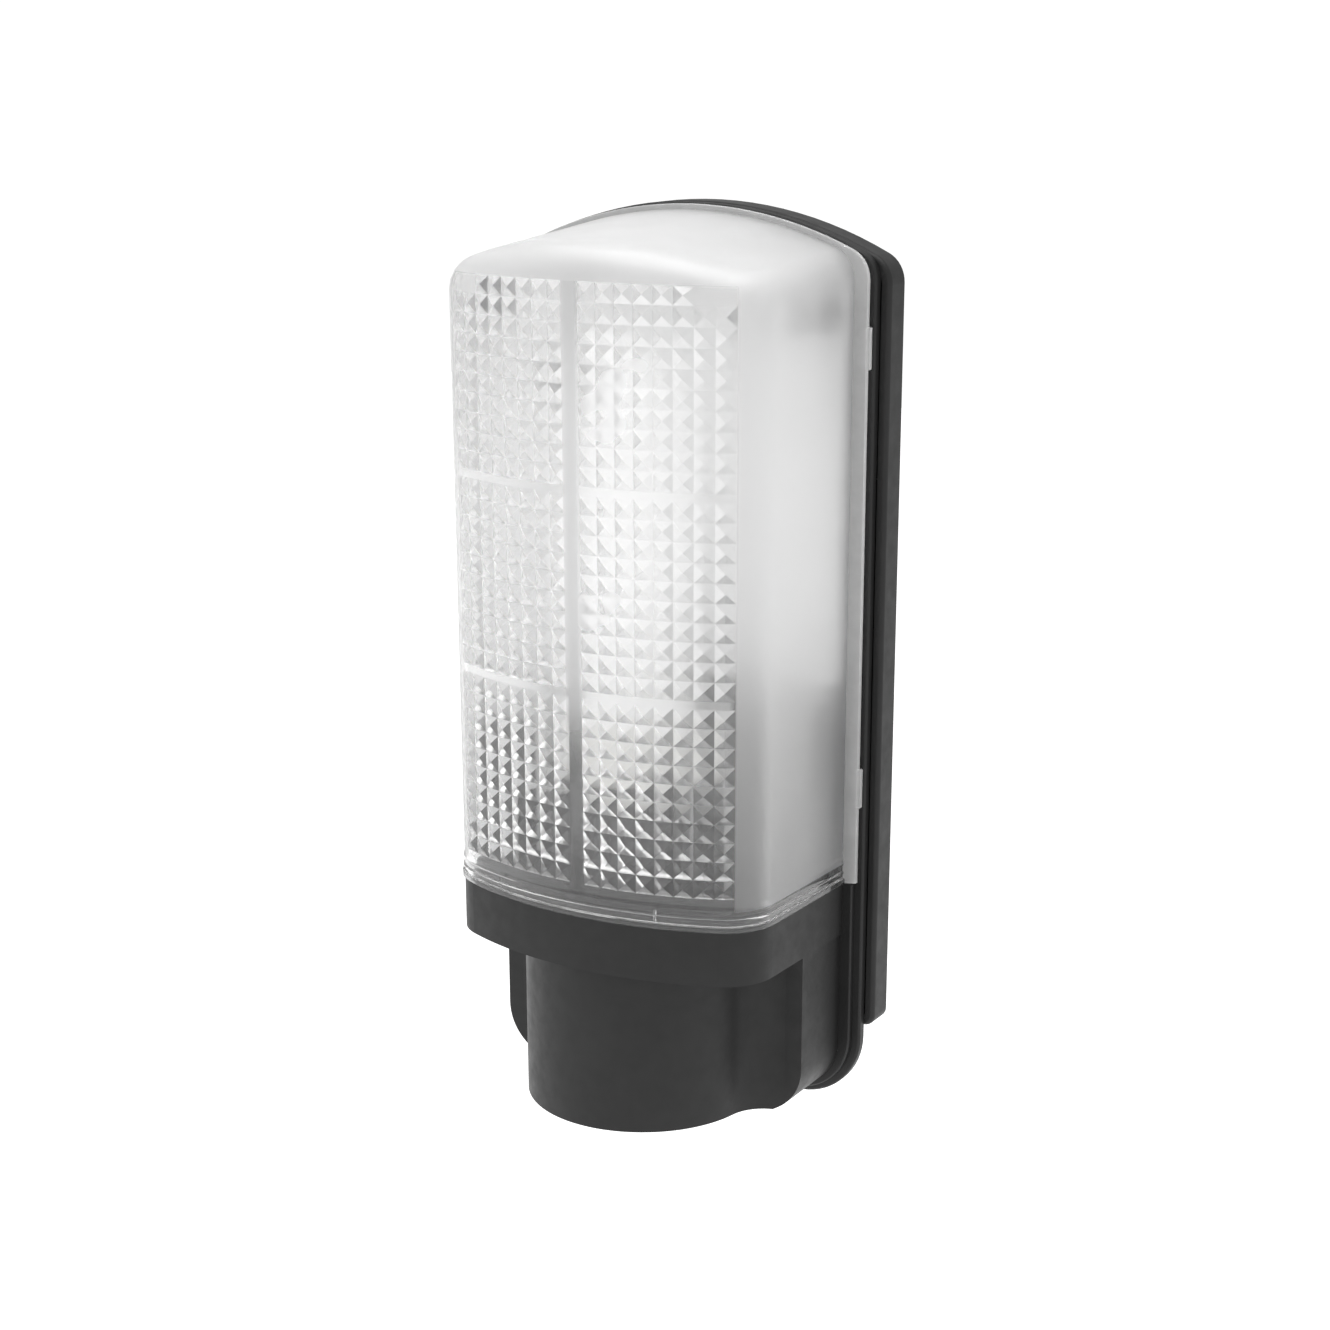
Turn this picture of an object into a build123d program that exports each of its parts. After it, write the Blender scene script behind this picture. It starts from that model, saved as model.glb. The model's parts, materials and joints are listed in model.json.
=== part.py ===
from build123d import *
import math
import os

# ---------------------------------------------------------------------------
# Outdoor wall bulkhead light with dusk-to-dawn switching. Millimetres.
# Frame: origin at the centre of the back plate on the wall face.
#   +Z up, +X to the right as seen by a person facing the light, the wall is
#   the plane Y = 0 and the light stands out towards -Y.
# A "depth", "front", "back" or "seat" is a distance from the wall, so depth
# 70 means Y = -70. Plane.XZ.offset(depth) is the sketch plane at that depth,
# and a positive extrusion from it goes away from the wall.
# ---------------------------------------------------------------------------

# fits
contact_gap = 0.02  # between parts that touch
seat_gap = 0.05  # under the wiring cover and the lampholder bracket
sheet_gap = 0.1  # between tray and diffuser, and tray and reflector

# back plate
plate_half = 56.0
plate_depth = 8.0
plate_web = 2.4
plate_wall = 2.5
plate_peak = 110.0
plate_bottom = -110.0
arch_radius = 117.5
fixing_pitch = 150.0
fixing_hole_r = 2.25
grommet_x, grommet_z = -29.0, -40.0
grommet_hole_r = 7.0
cable_r = 4.0

# base tray in front of the back plate
tray_half = 53.2
tray_front = 10.5
tray_peak = 109.7
tray_bottom = -132.4
tray_corner = 19.5
pillar_r = 5.3
pillar_bore_r = 3.9
pillar_fronts = (18.0, 30.0)  # left, right
pillar_seat = 12.5

# seal groove in the tray
groove_half = 50.3
groove_peak = 108.0
groove_width = 1.6
groove_depth = 1.0
groove_shoulder = 7.0

# lower housing
shelf_z = -68.2
band_height = 14.56
housing_half_front = 46.8
housing_half_back = 48.0
bow_radius = 96.73
front_depth = 70.5
band_corner = 14.35
box_half = housing_half_back - 0.6
box_front = 33.6
box_bottom = -129.4
box_corner = 14.5
barrel_r = 32.1
barrel_depth = 37.1
barrel_bottom = -128.0
blend_r = 11.0
wall = 2.4
flange_front = 12.3
flange_half = 50.8
flange_inset = 1.6
window_r = 9.0

# diffuser
diff_wall = 2.2
diff_front_wall = 3.4
diff_peak = 107.8
diff_slope = 5.0
diff_edge_r = 9.0
diff_bottom = shelf_z + 0.15
diff_back = tray_front + sheet_gap
diff_flange_half = 51.7
diff_flange_peak = 109.4
lug_z = (75.2, -41.0)
lug_x = 51.1
lug_length = 10.5

# reflector
reflector_half = 44.5
reflector_peak = 102.5
reflector_bottom = -13.2
reflector_rim = 4.3
reflector_sheet = 1.0
reflector_back = tray_front + sheet_gap
trough_r = 24.4
trough_front = 30.0
trough_wall = 0.8

# wiring cover
cover_top = -14.5
cover_top_left = -35.0
cover_step_x = -8.0
cover_back = tray_front + seat_gap
cover_front = 32.0
cover_half = 43.0
cover_wall = 2.0
cover_skin = 2.2  # roof, and wall round the lamp hollow
cover_hollow_r = 24.6
cover_screw_seat = 23.0

# terminal block, its poles one above the other
block_x, block_z = 30.5, -38.0
block_seat = tray_front + contact_gap
pole_pitch = 9.0
pole_heights = [block_z + i * pole_pitch for i in (-1, 0, 1)]
tube_depth = block_seat + 6.0
tube_length = 10.0
terminal_screw_dx = 2.6

# lamp and lampholder, on the barrel's axis
lamp_y = -barrel_depth
holder_bottom, holder_top = -88.0, -38.0
holder_r = 19.5
holder_lead_x = 12.5
holder_screw_dy = 11.0
bracket_back = tray_front + seat_gap
bracket_half = 15.0
bracket_sheet = 1.2
bracket_top = holder_bottom - contact_gap
cap_top = holder_top - 3.0
cap_bottom = cap_top - 23.0
collar_r = 14.7
collar_top = holder_top + 18.5
globe_r = 15.5
globe_wall = 1.3
globe_top = 80.0

# control board in the barrel
board_z = -112.0  # top of its posts
board_r = 25.0
board_thickness = 1.6
board_top = board_z + board_thickness + 2 * contact_gap
sensor_y = -46.0

# screw and fixing places, (x, z)
pillar_points = [(-38.5, 84), (38.5, 84)]
low_screw_points = [(-38, -99), (38, -99)]
base_screw_points = pillar_points + low_screw_points
fixing_points = [(0, fixing_pitch / 2), (0, -fixing_pitch / 2)]
housing_screw_points = [(-41.5, -77), (41.5, -77), (-39.6, -121), (39.6, -121)]
bracket_screw_points = [(-9, -99), (9, -99)]
cover_screw_points = [(-39, -46), (39, -22)]
reflector_screw_points = [(0, 92), (0, 9)]

# the same for screws that run along Z, (x, y)
board_post_points = [(-18.5, lamp_y + 3), (18.5, lamp_y + 3)]
holder_screw_points = [(0, lamp_y + holder_screw_dy), (0, lamp_y - holder_screw_dy)]

os.makedirs("parts", exist_ok=True)


# --------------------------------------------------------------------- helpers
def save(part, name):
    """Label a piece and write its STEP file."""
    part.label = name
    export_step(part, f"parts/{name}.step")


def on_lamp_axis(part):
    """Move a piece made round the Z axis to the lamp's axis."""
    return part.moved(Location((0, lamp_y, 0)))


def turned(profile):
    """Solid of revolution on the lamp's axis from a closed (radius, z) profile."""
    with BuildPart() as body:
        with BuildSketch(Plane.XZ):
            with BuildLine():
                Polyline(*profile, close=True)
            make_face()
        revolve(axis=Axis.Z)
    return on_lamp_axis(body.part)


def arched(half, peak, bottom, bottom_r, shoulder_r):
    """Front elevation of the plate family: straight sides under a low arch."""
    shoulder_z = peak - arch_radius + math.sqrt(arch_radius**2 - half**2)
    with BuildSketch() as outline:
        with BuildLine():
            Polyline((-half, shoulder_z), (-half, bottom), (half, bottom), (half, shoulder_z))
            ThreePointArc((half, shoulder_z), (0, peak), (-half, shoulder_z))
        make_face()
        if bottom_r > 0:
            fillet(outline.vertices().sort_by(Axis.Y)[:2], bottom_r)
        if shoulder_r > 0:
            fillet(outline.vertices().sort_by(Axis.Y)[-2:], shoulder_r)
    return outline.sketch


def tongue(half, bottom, corner, top):
    """Front elevation of the lower body: a square top over rounded corners."""
    with BuildSketch() as outline:
        with BuildLine():
            Polyline((-half, top), (-half, bottom), (half, bottom), (half, top), close=True)
        make_face()
        fillet(outline.vertices().sort_by(Axis.Y)[:2], corner)
    return outline.sketch


def bowed_plan(side_inset, front_inset, back_depth, corner_r):
    """Plan of the diffuser and band: bowed front, rounded corners, drafted sides."""
    radius = bow_radius - front_inset
    centre_y = -front_depth + bow_radius
    half_front = housing_half_front - side_inset
    half_back = housing_half_back - side_inset
    corner_y = centre_y - math.sqrt(radius**2 - half_front**2)
    with BuildSketch() as outline:
        with BuildLine():
            ThreePointArc(
                (-half_front, corner_y), (0, centre_y - radius), (half_front, corner_y)
            )
            Polyline(
                (half_front, corner_y), (half_back, -back_depth),
                (-half_back, -back_depth), (-half_front, corner_y),
            )
        make_face()
        fillet(outline.vertices().sort_by(Axis.Y)[:2], corner_r)
    return outline.sketch


def hood(side_inset, front_inset, top_inset, corner_r, edge_r, bottom, back):
    """Diffuser body: the bowed plan under a low arch that falls towards the front."""
    tilt = math.radians(diff_slope)
    roof = Plane(
        origin=(0, -tray_front, 0),
        x_dir=(1, 0, 0),
        z_dir=(0, -math.cos(tilt), -math.sin(tilt)),
    )
    with BuildPart() as body:
        with BuildSketch(Plane.XY.offset(bottom)):
            add(bowed_plan(side_inset, front_inset, back, corner_r))
        extrude(amount=200)
        # the arch, wider, lower and deeper than the body it trims
        with BuildSketch(roof):
            add(arched(60, diff_peak - top_inset, -190, 0, 0))
        extrude(amount=90, both=True, mode=Mode.INTERSECT)
        rim = body.faces().sort_by(Axis.Z)[-1].edges().filter_by(
            lambda edge: edge.center().Y < -back - 0.5
        )
        fillet(rim, edge_r)
    return body.part


def bars(points, radius, depth_from, depth_to):
    """Round bars along Y, used to cut screw and cable passages."""
    with BuildPart() as group:
        with BuildSketch(Plane.XZ.offset(depth_from)):
            with Locations(*points):
                Circle(radius)
        extrude(amount=depth_to - depth_from)
    return group.part


def screws(points, seat, head_r, head_h, shank_r, length, forward=False):
    """Pan-head screws along Y. The head's underside is at depth 'seat'.
    The shank runs towards the wall unless 'forward' is set."""
    way = 1 if forward else -1
    with BuildPart() as group:
        with BuildSketch(Plane.XZ.offset(seat)):
            with Locations(*points):
                Circle(head_r)
        extrude(amount=-way * head_h)
        top = group.faces().sort_by(Axis.Y)[-1 if forward else 0]
        fillet(
            group.edges().filter_by(GeomType.CIRCLE).filter_by(
                lambda edge: abs(edge.center().Y - top.center().Y) < 1e-3
            ),
            head_h * 0.45,
        )
        with BuildSketch(Plane.XZ.offset(seat)):
            with Locations(*points):
                Circle(shank_r)
        extrude(amount=way * length)
        # cross recess
        with BuildSketch(Plane.XZ.offset(seat - way * head_h)):
            with Locations(*points):
                Rectangle(head_r * 1.1, head_r * 0.28)
                Rectangle(head_r * 0.28, head_r * 1.1)
        extrude(amount=way * head_h * 0.55, mode=Mode.SUBTRACT)
    return group.part


def upright_screws(points, seat_z, head_up, head, shank, recess):
    """Two screws along Z with their heads above or below 'seat_z'.
    head: radius, height, edge radius; shank: radius, length;
    recess: length, width, depth of the cross."""
    way = 1 if head_up else -1
    head_r, head_h, edge_r = head
    shank_r, shank_length = shank
    recess_length, recess_width, recess_depth = recess
    with BuildPart() as group:
        with BuildSketch(Plane.XY.offset(seat_z)):
            with Locations(*points):
                Circle(head_r)
        extrude(amount=way * head_h)
        faces = group.faces().sort_by(Axis.Z)
        fillet((faces[-2:] if head_up else faces[:2]).edges(), edge_r)
        with BuildSketch(Plane.XY.offset(seat_z)):
            with Locations(*points):
                Circle(shank_r)
        extrude(amount=-way * shank_length)
        with BuildSketch(Plane.XY.offset(seat_z + way * head_h)):
            with Locations(*points):
                Rectangle(recess_length, recess_width)
                Rectangle(recess_width, recess_length)
        extrude(amount=-way * recess_depth, mode=Mode.SUBTRACT)
    return group.part


# ------------------------------------------------------------------ back plate
rib_root = plate_web - 0.5  # bosses and ribs start inside the web
with BuildPart() as back_plate:
    with BuildSketch(Plane.XZ):
        add(arched(plate_half, plate_peak, plate_bottom, 3.2, 8))
    extrude(amount=plate_depth)
    fillet(back_plate.faces().sort_by(Axis.Y)[0].outer_wire().edges(), 1.2)
    with BuildSketch(Plane.XZ.offset(plate_web)):
        add(
            arched(
                plate_half - plate_wall, plate_peak - plate_wall,
                plate_bottom + plate_wall, 1.5, 6,
            )
        )
    extrude(amount=plate_depth - plate_web, mode=Mode.SUBTRACT)
    # bosses for the tray screws and pads round the wall fixings
    with BuildSketch(Plane.XZ.offset(rib_root)):
        with Locations(*base_screw_points):
            Circle(4.2)
    extrude(amount=plate_depth - rib_root)
    with BuildSketch(Plane.XZ.offset(rib_root)):
        with Locations(*fixing_points):
            Circle(7.5)
    extrude(amount=2.0)
    # stiffening ribs on the web: two across, two upright
    with BuildSketch(Plane.XZ.offset(rib_root)):
        with Locations((0, 40), (0, 0)):
            Rectangle(104, 1.6)
        with Locations((-22, 72), (22, 72)):
            Rectangle(1.6, 62)
    extrude(amount=2.5)
    # blind screw holes, then the holes through to the wall
    add(bars(base_screw_points, 1.6, 1.0, plate_depth + 1), mode=Mode.SUBTRACT)
    add(bars(fixing_points, fixing_hole_r, -1, 6), mode=Mode.SUBTRACT)
    add(bars([(grommet_x, grommet_z)], grommet_hole_r, -1, 6), mode=Mode.SUBTRACT)
save(back_plate.part, "back_plate")

# ------------------------------------------------------------------- base tray
pillar_root = tray_front - 0.5
slot_points = [(side * (lug_x + 0.1), z) for side in (-1, 1) for z in lug_z]
# holes through the tray: points, radius
tray_holes = [
    (reflector_screw_points, 1.25),
    (housing_screw_points, 2.1),
    (bracket_screw_points, 1.45),
    (cover_screw_points, 1.25),
]
with BuildPart() as base_tray:
    with BuildSketch(Plane.XZ.offset(plate_depth)):
        add(arched(tray_half, tray_peak, tray_bottom, tray_corner, 8))
    extrude(amount=tray_front - plate_depth)
    fillet(base_tray.faces().sort_by(Axis.Y)[0].outer_wire().edges(), 0.7)
    # pillars round the two upper tray screws
    for point, pillar_front in zip(pillar_points, pillar_fronts):
        with BuildSketch(Plane.XZ.offset(pillar_root)):
            with Locations(point):
                Circle(pillar_r)
        extrude(amount=pillar_front - pillar_root)
    # screw bosses behind the tray for the bracket, cover and reflector
    with BuildSketch(Plane.XZ.offset(plate_depth + 0.5)):
        with Locations(*bracket_screw_points):
            Circle(3.6)
        with Locations(*(cover_screw_points + reflector_screw_points)):
            Circle(3.0)
    extrude(amount=-4.5)
    # seal groove round the sides and arch
    with BuildSketch(Plane.XZ.offset(tray_front - groove_depth)):
        add(arched(groove_half, groove_peak, shelf_z - 0.5, 0, groove_shoulder))
        add(
            arched(
                groove_half - groove_width, groove_peak - groove_width, shelf_z - 1.5,
                0, groove_shoulder - groove_width,
            ),
            mode=Mode.SUBTRACT,
        )
    extrude(amount=2, mode=Mode.SUBTRACT)
    # slots for the diffuser's lugs
    with BuildSketch(Plane.XZ.offset(plate_depth - 1)):
        with Locations(*slot_points):
            Rectangle(1.7, lug_length + 0.8)
    extrude(amount=5, mode=Mode.SUBTRACT)
    # passages for the supply and internal wiring
    with BuildSketch(Plane.XZ.offset(plate_depth - 1)):
        with Locations((-29, -42)):
            RectangleRounded(13, 26, 2)
        with Locations((31, -58)):
            RectangleRounded(12, 10, 2)
    extrude(amount=5, mode=Mode.SUBTRACT)
    add(bars(base_screw_points, 2.1, 5, 15), mode=Mode.SUBTRACT)
    # wide bores down the pillars to the seats of the screw heads
    add(
        bars(pillar_points, pillar_bore_r, pillar_seat, pillar_fronts[1] + 5),
        mode=Mode.SUBTRACT,
    )
    for points, hole_r in tray_holes:
        add(bars(points, hole_r, 5, 15), mode=Mode.SUBTRACT)
save(base_tray.part, "base_tray")

with BuildPart() as base_screws:
    add(screws(pillar_points, pillar_seat, 3.4, 2.2, 1.55, 11.0))
    add(screws(low_screw_points, tray_front, 3.4, 2.2, 1.55, 9.0))
save(base_screws.part, "base_screws")


# --------------------------------------------------------------- lower housing
def barrel_body(inset, top, bottom):
    """Round barrel and the box's width behind it, joined by hollow rounds and
    cut to the box's lower corners."""
    front = box_front - inset
    with BuildPart() as body:
        with BuildSketch(Plane.XY.offset(top)) as plan:
            with Locations((0, -barrel_depth)):
                Circle(barrel_r - inset)
            with Locations((0, -(tray_front + front) / 2)):
                Rectangle(2 * (box_half - inset), front - tray_front)
            fillet(
                plan.vertices().filter_by(
                    lambda vertex: abs(vertex.Y + front) < 0.01
                    and abs(vertex.X) < barrel_r + 1
                ),
                blend_r + inset,
            )
            with Locations((0, -tray_front / 2)):
                Rectangle(120, tray_front, mode=Mode.SUBTRACT)
        extrude(amount=bottom - top)
        with BuildSketch(Plane.XZ):
            add(tongue(box_half - inset, box_bottom + inset, box_corner - inset, top + 5))
        extrude(amount=90, mode=Mode.INTERSECT)
    return body.part


with BuildPart() as rear_box:
    with BuildSketch(Plane.XZ.offset(tray_front)):
        add(tongue(box_half, box_bottom, box_corner, shelf_z - 1))
    extrude(amount=box_front - tray_front)
    fillet(
        rear_box.faces().sort_by(Axis.Y)[0].edges().filter_by(
            lambda edge: edge.center().Z < shelf_z - 2
        ),
        2.2,
    )

# upstand on the shelf: insets of its outer face from the band, and its wall
upstand_side, upstand_front, upstand_corner = 2.6, 3.8, 3.0
upstand_wall = 1.4
post_bottom = barrel_bottom + wall - 0.5
with BuildPart() as lower_housing:
    # band under the diffuser
    with BuildSketch(Plane.XY.offset(shelf_z)):
        add(bowed_plan(0, 0, tray_front, band_corner))
    extrude(amount=-band_height)
    # barrel, with a hollow round on each side that runs into the box behind it
    add(barrel_body(0, shelf_z - 1, barrel_bottom))
    add(rear_box.part)
    # flange against the tray, with rounded side edges
    with BuildSketch(Plane.XZ.offset(tray_front)):
        add(tongue(flange_half, tray_bottom + flange_inset, tray_corner - flange_inset, shelf_z))
    extrude(amount=flange_front - tray_front)
    fillet(
        lower_housing.faces().filter_by(Axis.Y).filter_by(
            lambda face: abs(face.center().Y + flange_front) < 0.05
        ).edges().filter_by(
            lambda edge: abs(edge.center().X) > flange_half - 0.1 and edge.length > 20
        ),
        0.5,
    )
    # hollow: band, barrel and box
    with BuildSketch(Plane.XY.offset(shelf_z - wall)):
        add(bowed_plan(wall, wall, tray_front, band_corner - wall))
    extrude(amount=-(band_height - 2 * wall), mode=Mode.SUBTRACT)
    add(barrel_body(wall, shelf_z - wall, barrel_bottom + wall), mode=Mode.SUBTRACT)
    with BuildSketch(Plane.XZ.offset(tray_front)):
        add(tongue(box_half - wall, box_bottom + wall, box_corner - wall, shelf_z - wall))
    extrude(amount=box_front - wall - tray_front, mode=Mode.SUBTRACT)
    # opening for the lampholder and for the wiring behind it
    with BuildSketch(Plane.XY.offset(shelf_z + 1)):
        with Locations((0, lamp_y)):
            Circle(21.2)
        with Locations((30.5, -19.5)):
            RectangleRounded(12, 9, 1.5)
    extrude(amount=-(wall + 2), mode=Mode.SUBTRACT)
    # upstand that locates the diffuser's lower edge
    with BuildSketch(Plane.XY.offset(shelf_z - 0.4)):
        add(bowed_plan(upstand_side, upstand_front, tray_front, band_corner - upstand_corner))
        add(
            bowed_plan(
                upstand_side + upstand_wall, upstand_front + upstand_wall,
                tray_front - 2, band_corner - upstand_corner - upstand_wall,
            ),
            mode=Mode.SUBTRACT,
        )
    extrude(amount=3.0)
    # screw bosses inside the box, on the side walls
    with BuildSketch(Plane.XZ.offset(tray_front)):
        with Locations(*housing_screw_points):
            Circle(4.2)
    extrude(amount=15)
    add(bars(housing_screw_points, 1.5, tray_front - 1, tray_front + 12), mode=Mode.SUBTRACT)
    # posts for the control board
    with BuildSketch(Plane.XY.offset(post_bottom)):
        with Locations(*board_post_points):
            Circle(3.2)
    extrude(amount=board_z - post_bottom)
    with BuildSketch(Plane.XY.offset(board_z)):
        with Locations(*board_post_points):
            Circle(1.2)
    extrude(amount=-9, mode=Mode.SUBTRACT)
    # window opening in the underside, and the shallow seat round it
    with BuildSketch(Plane.XY.offset(barrel_bottom - 1)):
        with Locations((0, sensor_y)):
            Circle(window_r)
    extrude(amount=5, mode=Mode.SUBTRACT)
    with BuildSketch(Plane.XY.offset(barrel_bottom)):
        with Locations((0, sensor_y)):
            Circle(window_r + 1.6)
    extrude(amount=1.2, mode=Mode.SUBTRACT)
    # drain holes in the underside of the box
    with BuildSketch(Plane.XY.offset(box_bottom - 1)):
        with Locations((-24, -20), (24, -20)):
            Circle(1.6)
    extrude(amount=6, mode=Mode.SUBTRACT)
save(lower_housing.part, "lower_housing")

# driven from behind the tray
save(
    screws(housing_screw_points, plate_depth, 3.3, 2.0, 1.48, 13.0, forward=True),
    "housing_screws",
)

# --------------------------------------------------------------- sensor window
with BuildPart() as sensor_window:
    # rim disc, standing slightly below the barrel
    with BuildSketch(Plane.XY.offset(barrel_bottom + 1.15)):
        with Locations((0, sensor_y)):
            Circle(window_r + 1.5)
    extrude(amount=-1.75)
    # collar in the opening, hollow from above
    with BuildSketch(Plane.XY.offset(barrel_bottom + 1.1)):
        with Locations((0, sensor_y)):
            Circle(window_r - 0.1)
    extrude(amount=2.6)
    fillet(sensor_window.faces().sort_by(Axis.Z)[0].edges(), 0.5)
    with BuildSketch(Plane.XY.offset(barrel_bottom + 0.9)):
        with Locations((0, sensor_y)):
            Circle(window_r - 1.5)
    extrude(amount=4, mode=Mode.SUBTRACT)
save(sensor_window.part, "sensor_window")

# -------------------------------------------------------------------- diffuser
bead_out = 0.7  # how far the lower bead stands proud
bead_in = 1.0  # how far it reaches into the wall
with BuildPart() as diffuser:
    add(hood(0, 0, 0, band_corner, diff_edge_r, diff_bottom, diff_back))
    # rear flange round the sides and the arch
    with BuildSketch(Plane.XZ.offset(diff_back)):
        add(arched(diff_flange_half, diff_flange_peak, shelf_z + 0.6, 1.2, 8))
        add(arched(44, 104, shelf_z - 5, 0, 4), mode=Mode.SUBTRACT)
    extrude(amount=flange_front - tray_front)
    fillet(
        diffuser.edges().filter_by(
            lambda edge: abs(edge.center().Y + flange_front + sheet_gap) < 0.02
            and abs(edge.center().X) > diff_flange_half - 0.05
            and edge.length > 60
        ),
        0.5,
    )
    # bead round the lower edge
    with BuildSketch(Plane.XY.offset(diff_bottom)):
        add(bowed_plan(-bead_out, -bead_out, flange_front, band_corner + bead_out))
        add(
            bowed_plan(bead_in, bead_in, tray_front, band_corner - bead_in),
            mode=Mode.SUBTRACT,
        )
    extrude(amount=2.2)
    # hollow, open below and behind
    add(
        hood(
            diff_wall, diff_front_wall, diff_wall, band_corner - 2.6,
            diff_edge_r - diff_wall, shelf_z - 1, tray_front - 4,
        ),
        mode=Mode.SUBTRACT,
    )
    # lugs that enter the slots of the tray
    with BuildSketch(Plane.XZ.offset(tray_front + 0.6)):
        with Locations(*[(side * lug_x, z) for side in (-1, 1) for z in lug_z]):
            Rectangle(1.1, lug_length)
    extrude(amount=-4.6)
save(diffuser.part, "diffuser")

# ------------------------------------------------------------------ rim gasket
gasket_play = 0.1  # to each side of the groove
gasket_inset = groove_width - gasket_play  # its inner edge from the groove's outer edge
with BuildPart() as rim_gasket:
    with BuildSketch(Plane.XZ.offset(tray_front - groove_depth + contact_gap)):
        add(
            arched(
                groove_half - gasket_play, groove_peak - gasket_play, shelf_z + 0.4,
                0, groove_shoulder - gasket_play,
            )
        )
        add(
            arched(
                groove_half - gasket_inset, groove_peak - gasket_inset, shelf_z - 2.5,
                0, groove_shoulder - gasket_inset,
            ),
            mode=Mode.SUBTRACT,
        )
    extrude(amount=1.0)
save(rim_gasket.part, "rim_gasket")

# ------------------------------------------------------------------- reflector
trough_top, trough_bottom = -12.4, shelf_z + 2.2
# plain sheet on the left: x from, x to, z top, z bottom
sheet_left, sheet_right, sheet_top, sheet_bottom = -reflector_half, -8.4, -12.7, -34.8
with BuildPart() as reflector:
    # shallow pan, open to the front
    with BuildSketch(Plane.XZ.offset(reflector_back)):
        add(arched(reflector_half, reflector_peak, reflector_bottom, 3, 8))
    extrude(amount=reflector_rim)
    fillet(reflector.faces().sort_by(Axis.Y)[-1].outer_wire().edges(), 0.9)
    with BuildSketch(Plane.XZ.offset(reflector_back + reflector_sheet)):
        add(
            arched(
                reflector_half - reflector_sheet, reflector_peak - reflector_sheet,
                reflector_bottom + reflector_sheet, 3 - reflector_sheet, 8 - reflector_sheet,
            )
        )
    extrude(amount=8, mode=Mode.SUBTRACT)
    add(bars(pillar_points, pillar_r + 0.3, 5, 25), mode=Mode.SUBTRACT)
    add(bars(reflector_screw_points, 1.6, 5, 25), mode=Mode.SUBTRACT)
    # round trough behind the lampholder, hanging from the pan's lower rim
    with BuildSketch(Plane.XY.offset(trough_top)):
        with Locations((0, lamp_y)):
            Circle(trough_r)
            Circle(trough_r - trough_wall, mode=Mode.SUBTRACT)
        with Locations((0, -trough_front - 25)):
            Rectangle(80, 50, mode=Mode.SUBTRACT)
    extrude(amount=trough_bottom - trough_top)
    # plain sheet beside the trough, above the low side of the wiring cover
    with BuildSketch(Plane.XZ.offset(reflector_back)):
        with Locations(((sheet_left + sheet_right) / 2, (sheet_top + sheet_bottom) / 2)):
            Rectangle(sheet_right - sheet_left, sheet_top - sheet_bottom)
    extrude(amount=reflector_sheet)
save(reflector.part, "reflector")

reflector_screw_seat = reflector_back + reflector_sheet + contact_gap
save(
    screws(reflector_screw_points, reflector_screw_seat, 2.8, 1.8, 1.22, 6.5),
    "reflector_screws",
)

# ---------------------------------------------------------------- wiring cover
# hollows: x from, x to, height of the roof above; the two overlap at the step
cover_hollows = [
    (cover_step_x + cover_wall, cover_half - cover_wall, cover_top),
    (cover_wall - cover_half, cover_step_x + cover_wall + 0.1, cover_top_left),
]
cover_bottom = shelf_z + 0.3
# a box drawn from its plan, with a round hollow at its front that clears the lamp
with BuildPart() as wiring_cover:
    with BuildSketch(Plane.XY.offset(cover_bottom)):
        with Locations((0, -(cover_back + cover_front) / 2)):
            Rectangle(2 * cover_half, cover_front - cover_back)
        with Locations((0, lamp_y)):
            Circle(cover_hollow_r, mode=Mode.SUBTRACT)
    extrude(amount=cover_top - cover_bottom)
    fillet(
        wiring_cover.edges().filter_by(Axis.Z).filter_by(lambda edge: edge.center().Y < -20),
        1.6,
    )
    fillet(
        wiring_cover.faces().sort_by(Axis.Z)[-1].edges().filter_by(
            lambda edge: edge.center().Y < -tray_front - 0.5
        ),
        1.2,
    )
    # the left side is lower
    with BuildSketch(Plane.XZ):
        with Locations((cover_step_x - 30, cover_top_left + 20)):
            Rectangle(60, 40)
    extrude(amount=60, mode=Mode.SUBTRACT)
    # hollow: the tall right side, then the low left side
    for x_from, x_to, roof_z in cover_hollows:
        with BuildSketch(Plane.XY.offset(shelf_z)):
            with Locations(((x_from + x_to) / 2, -(tray_front + cover_front - cover_wall) / 2)):
                Rectangle(x_to - x_from, cover_front - cover_wall - tray_front)
            with Locations((0, lamp_y)):
                Circle(cover_hollow_r + cover_skin, mode=Mode.SUBTRACT)
        extrude(amount=roof_z - shelf_z - cover_skin, mode=Mode.SUBTRACT)
    # ears for its two screws, inside, with the screws driven from the front
    with BuildSketch(Plane.XZ.offset(cover_back)):
        with Locations(*cover_screw_points):
            Circle(3.4)
    extrude(amount=cover_front - tray_front - 1)
    add(bars(cover_screw_points, 1.6, 5, 40), mode=Mode.SUBTRACT)
    add(bars(cover_screw_points, 3.0, cover_screw_seat, 40), mode=Mode.SUBTRACT)
save(wiring_cover.part, "wiring_cover")

save(screws(cover_screw_points, cover_screw_seat, 2.7, 1.8, 1.22, 16.5), "cover_screws")

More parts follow.
